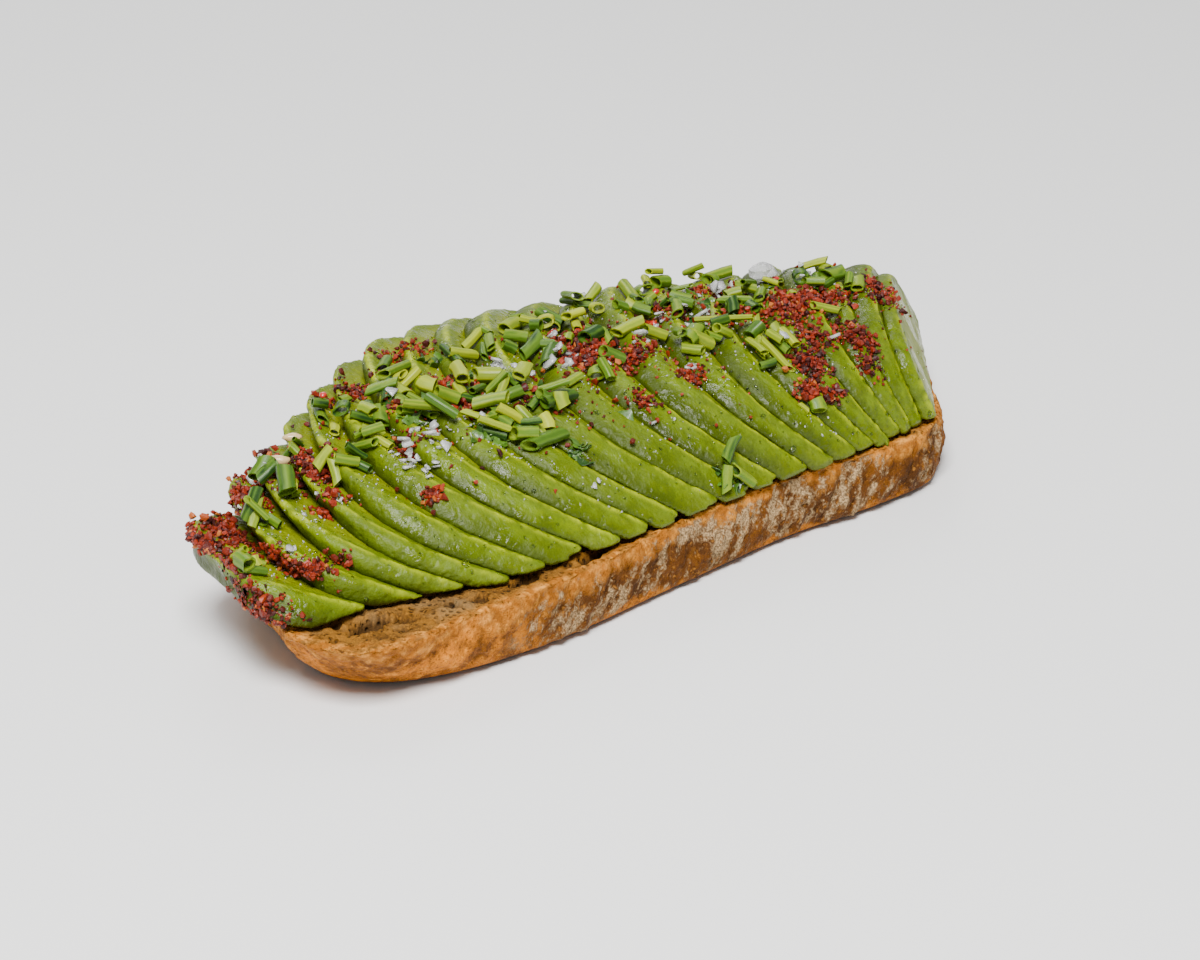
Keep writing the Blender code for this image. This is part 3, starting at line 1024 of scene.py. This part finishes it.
class TOAST_OT_salt(Topping, bpy.types.Operator):
    """Scatter salt flakes and fine grains, and finish the large flake"""

    bl_idname = "toast.salt"
    bl_label = "Salt"
    run = 2

    def scatter(self, look, chance):
        material = salt_material(look)
        flakes = [Shape(crystal(chance, (1.0, 0.75, 0.17), 6, 0.5)) for _ in range(10)]
        copies = []
        for x, y in places(chance, SALT_PATCHES):
            size = SALT_FLAKE_SIZE * math.exp(min(chance.gauss(-0.1, 0.55), 0.8))
            spin = chance.uniform(0.0, math.tau)
            laid = ground().lay(x, y, spin, size * 1.6, size * 0.5, size * 0.15)
            if laid is None:
                continue
            turn = turned(chance.gauss(0.0, 0.5), chance.gauss(0.0, 0.5), spin)
            place = Matrix.Translation((laid[0] + laid[1]) / 2.0) @ turn
            copies.append((chance.randrange(len(flakes)), place @ scaled((size, size, size)), {}))
        for _ in range(FINE_SALT):
            patch = chance.choice(CHIVE_PATCHES + SALT_PATCHES)
            x, y = in_patch(chance, (patch[0], patch[1] - 2, patch[2] * 2.2, patch[3] * 2.0))
            landed, normal = ground().cast((x, y, 0.025), (0.25, 0.3, -1.0))
            if landed is None or landed.z < BREAD_TOP + 0.002:
                continue
            size = chance.uniform(*FINE_SALT_SIZES)
            turn = tumbled(chance)
            place = Matrix.Translation(landed + normal * size * 0.4) @ turn @ scaled((size, size, size * 2.0))
            copies.append((chance.randrange(len(flakes)), place, {}))
        ride(gather("flaked_salt", flakes, copies, material))
        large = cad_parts["salt_flake"].data.materials
        large.clear()
        large.append(material)


def leaf_shape(chance):
    """A scrap of minced leaf: a small crumpled sheet with an uneven outline."""
    bpy.ops.mesh.primitive_grid_add(x_subdivisions=4, y_subdivisions=3, size=2.0)
    made = bpy.context.object
    bpy.ops.object.mode_set(mode="EDIT")
    for _ in range(3):
        angle = chance.uniform(0.0, math.tau)
        normal = Vector((math.cos(angle), math.sin(angle), 0.0))
        bpy.ops.mesh.select_all(action="SELECT")
        bpy.ops.mesh.bisect(plane_co=normal * chance.uniform(0.35, 0.8), plane_no=normal, clear_outer=True)
    bpy.ops.object.mode_set(mode="OBJECT")
    points = read_points(made.data)
    curl, twist = chance.uniform(-0.8, 0.8), chance.uniform(-0.6, 0.6)
    along, across = points[:, 0], points[:, 1] * 0.7
    points[:, 1] = across
    points[:, 2] = curl * across**2 + twist * along * across + 0.12 * np.sin(along * 5.0)
    write_points(made.data, points)
    apply_modifier(made, "SOLIDIFY", thickness=0.12, offset=0.0)
    return made


class TOAST_OT_herb(Topping, bpy.types.Operator):
    """Scatter scraps of dark minced herb"""

    bl_idname = "toast.herb"
    bl_label = "Minced herb"
    run = 3

    def scatter(self, look, chance):
        shapes = [Shape(leaf_shape(chance)) for _ in range(8)]
        made = Material("minced_herb")
        (tone,) = made.attributes("tone")
        veins = made.noise(1200.0, 3.0, 0.6)
        colour = made.mix((tone * 0.8 + veins * 0.3).step(0.1, 0.9), look.herb, (0.07, 0.16, 0.006))
        material = made.finish(
            Base_Color=colour,
            Roughness=0.36 + veins * 0.2,
            Normal=made.bump(veins, 0.0003, 0.7),
            Coat_Weight=0.3,
            Coat_Roughness=0.15,
        )
        copies = []
        for x, y in places(chance, HERB_PATCHES):
            size = chance.uniform(*HERB_SIZES)
            landed = ground().height(x, y)
            if landed is None or landed < BREAD_TOP + 0.001 or landed + size > CAD_BOX[1][2]:
                continue
            turn = turned(chance.gauss(0.0, 0.6), chance.gauss(0.0, 0.6), chance.uniform(0.0, math.tau))
            spot = Vector((x, y, landed + size * 0.25))
            place = Matrix.Translation(spot) @ turn @ scaled((size, size, size))
            copies.append((chance.randrange(len(shapes)), place, {"tone": chance.random()}))
        ride(gather("minced_herb", shapes, copies, material, 50.0))


class TOAST_OT_bits(Topping, bpy.types.Operator):
    """Place the red chilli bits and the pale seeds"""

    bl_idname = "toast.bits"
    bl_label = "Bits and seeds"
    run = 4

    def scatter(self, look, chance):
        shapes = [Shape(pebble(chance, 2, 0.12)) for _ in range(5)]
        for name, spots, size, colour, shine in (
            ("red_bits", RED_BITS, (0.0010, 0.0008, 0.0007), (0.60, 0.020, 0.014), 0.7),
            ("pale_seeds", SEEDS, (0.0019, 0.0012, 0.0010), (0.74, 0.52, 0.24), 0.3),
        ):
            made = Material(name)
            mottle = made.noise(1100.0, 3.0, 0.6)
            material = made.finish(
                Base_Color=made.mix(mottle, colour, tint(colour, 0.6)),
                Roughness=0.45 - mottle * 0.2,
                Normal=made.bump(mottle, 0.0002, 0.6),
                Coat_Weight=shine,
                Coat_Roughness=0.12,
            )
            copies = []
            for x, y in spots:
                share = chance.uniform(0.75, 1.25)
                height = ground().height(x * MM, y * MM)
                if height is None:
                    raise RuntimeError(f"a piece of {name} misses the food")
                spot = Vector((x * MM, y * MM, height + size[2] * 0.5 * share))
                turn = Matrix.Rotation(chance.uniform(0.0, math.tau), 4, "Z")
                place = Matrix.Translation(spot) @ turn @ scaled([part * share for part in size])
                copies.append((chance.randrange(len(shapes)), place, {}))
            ride(gather(name, shapes, copies, material, 60.0))


class TOAST_OT_drops(Topping, bpy.types.Operator):
    """Bead tiny drops of moisture on the avocado"""

    bl_idname = "toast.drops"
    bl_label = "Drops"
    run = 5

    def scatter(self, look, chance):
        shape = Shape(pebble(chance, 2, 0.05))
        made = Material("moisture_drops")
        material = made.finish(
            Base_Color=made.mix(made.noise(300.0, 4.0, 0.55), (0.95, 1.0, 0.82), (0.85, 0.95, 0.6)),
            Roughness=0.04,
            Transmission_Weight=1.0,
            IOR=1.36,
        )
        copies = []
        while len(copies) < DROPS:
            x, y = chance.uniform(-0.1, 0.1), chance.uniform(-0.046, 0.04)
            direction = (chance.uniform(0.0, 0.9), chance.uniform(0.0, 0.9), -1.0)
            landed, normal = ground().cast((x, y, 0.028), direction)
            if landed is None or landed.z < BREAD_TOP + 0.0015:
                continue
            size = DROP_SIZE * math.exp(chance.gauss(0.0, 0.45))
            place = Matrix.Translation(landed) @ aligned(normal, chance.uniform(0.0, math.tau))
            copies.append((0, place @ scaled((size * chance.uniform(0.8, 1.5), size, size * 0.55)), {}))
        ride(gather("moisture_drops", [shape], copies, material, 80.0))


# Stage


CAMERA_PLACE = (-0.4113, -0.4902, 0.2873)
CAMERA_TURN = (66.4, 0.0, -40.0)
CAMERA_LENS = 96.9


class TOAST_OT_stage(bpy.types.Operator):
    """Set up the camera, the pale floor and the soft lights"""

    bl_idname = "toast.stage"
    bl_label = "Stage"

    def execute(self, context):
        look = context.scene.toast_stage
        turn = [math.radians(angle) for angle in CAMERA_TURN]
        bpy.ops.object.camera_add(location=CAMERA_PLACE, rotation=turn)
        camera = context.object
        camera.data.lens = CAMERA_LENS
        camera.data.sensor_width = 36.0
        context.scene.camera = camera
        bpy.ops.mesh.primitive_plane_add(size=6.0)
        floor = context.object
        floor.name = "floor"
        made = Material("pale_floor")
        shade = made.mix(made.noise(3.0, 4.0, 0.55), look.floor, tint(look.floor, 0.97))
        floor.data.materials.append(made.finish(Base_Color=shade, Roughness=0.7))
        add_light("key", (-0.45, -0.45, 1.0), look.key_power, 0.45)
        add_light("back", (0.45, 0.85, 0.75), look.back_power, 0.5)
        world = bpy.data.worlds.new("studio")
        world.use_nodes = True
        background = world.node_tree.nodes["Background"].inputs
        background["Color"].default_value = (1.0, 1.0, 1.0, 1.0)
        background["Strength"].default_value = look.fill
        context.scene.world = world
        return {"FINISHED"}


def add_light(name, place, power, size):
    bpy.ops.object.light_add(type="AREA", location=place)
    light = bpy.context.object
    light.name = name
    light.data.energy = power
    light.data.size = size
    light.rotation_euler = (-Vector(place)).to_track_quat("-Z", "Y").to_euler()


# Panel and registration


OPERATORS = (
    TOAST_OT_stage,
    TOAST_OT_bread,
    TOAST_OT_avocado,
    TOAST_OT_sumac,
    TOAST_OT_herb,
    TOAST_OT_chives,
    TOAST_OT_salt,
    TOAST_OT_bits,
    TOAST_OT_drops,
)
PROPERTIES = {
    "toast_bread": BreadProperties,
    "toast_avocado": AvocadoProperties,
    "toast_topping": ToppingProperties,
    "toast_stage": StageProperties,
}


class TOAST_PT_panel(bpy.types.Panel):
    """Lists the pieces of the toast"""

    bl_idname = "TOAST_PT_panel"
    bl_label = "Avocado toast"
    bl_space_type = "VIEW_3D"
    bl_region_type = "UI"
    bl_category = "Toast"

    def draw(self, context):
        for name, group in PROPERTIES.items():
            box = self.layout.box()
            for key in group.__annotations__:
                box.prop(getattr(context.scene, name), key)
        for operator in OPERATORS:
            self.layout.operator(operator.bl_idname)


def register():
    for each in (*PROPERTIES.values(), *OPERATORS, TOAST_PT_panel):
        bpy.utils.register_class(each)
    for name, group in PROPERTIES.items():
        setattr(bpy.types.Scene, name, PointerProperty(type=group))


def unregister():
    for name in PROPERTIES:
        delattr(bpy.types.Scene, name)
    for each in reversed((*PROPERTIES.values(), *OPERATORS, TOAST_PT_panel)):
        bpy.utils.unregister_class(each)


def main():
    register()
    for operator in OPERATORS:
        getattr(bpy.ops.toast, operator.bl_idname.removeprefix("toast."))()


if __name__ == "__main__":
    main()
